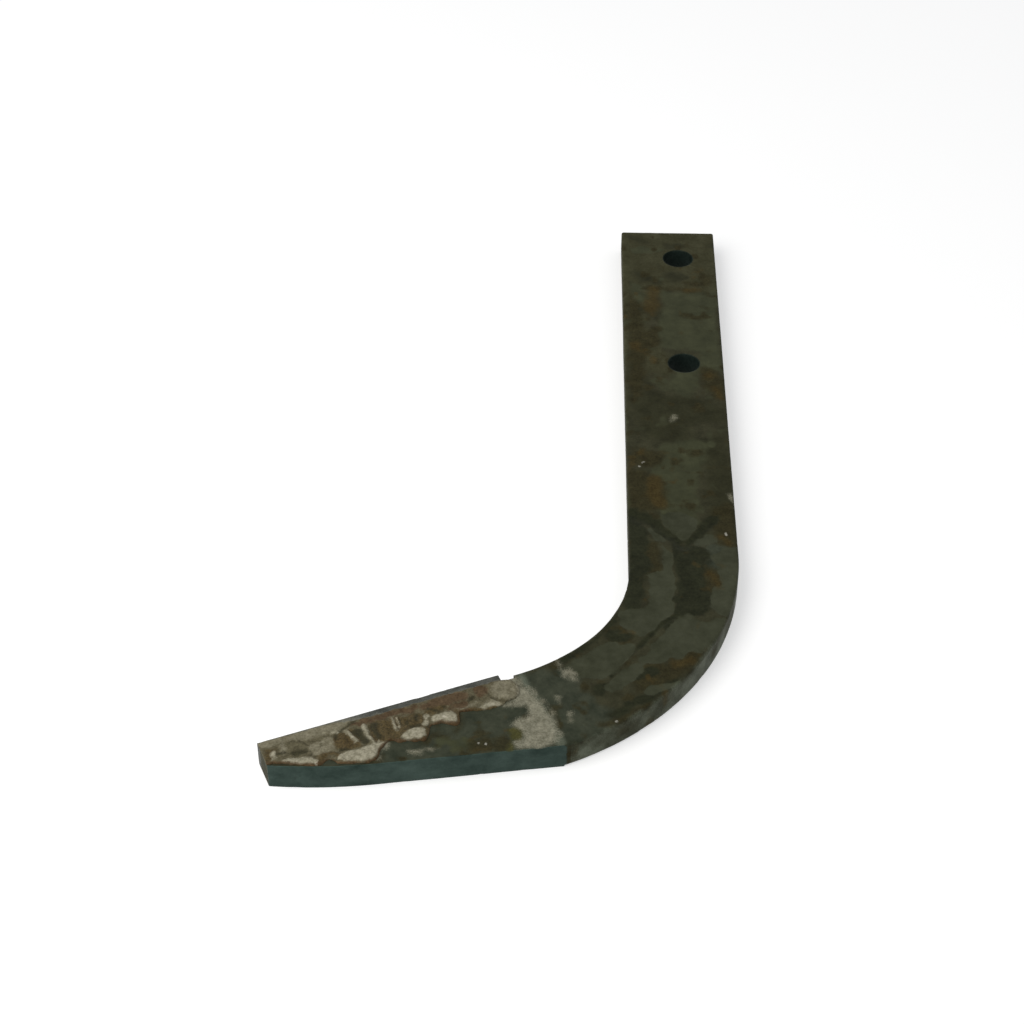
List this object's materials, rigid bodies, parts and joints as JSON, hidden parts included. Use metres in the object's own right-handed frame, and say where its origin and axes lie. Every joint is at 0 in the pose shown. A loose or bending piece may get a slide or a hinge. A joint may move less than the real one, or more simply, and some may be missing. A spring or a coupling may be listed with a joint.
{
  "type": "rotary tiller blade",
  "caption": "Flat steel bar bent on edge into a hook, with bolt holes in the shank and a hard wear strip brazed along the inner edge of its tapered arm.",
  "frame": {"origin": "midway between the two bolt holes, on the blade's underside", "axes": "+Y up the shank to its end, +Z out of the top face; the arm points to -X and -Y"},
  "size_m": [0.1647, 0.3231, 0.0114],
  "materials": {
    "bar_steel": "hot-rolled mill scale with rust, ground along the taper",
    "hard_metal": "sintered, matt grey",
    "braze_filler": "cast filler under dried flux"
  },
  "bodies": {
    "root": {"blade": "bar_steel", "wear_strip": "hard_metal", "braze_deposit": "braze_filler"}
  },
  "joints": []
}
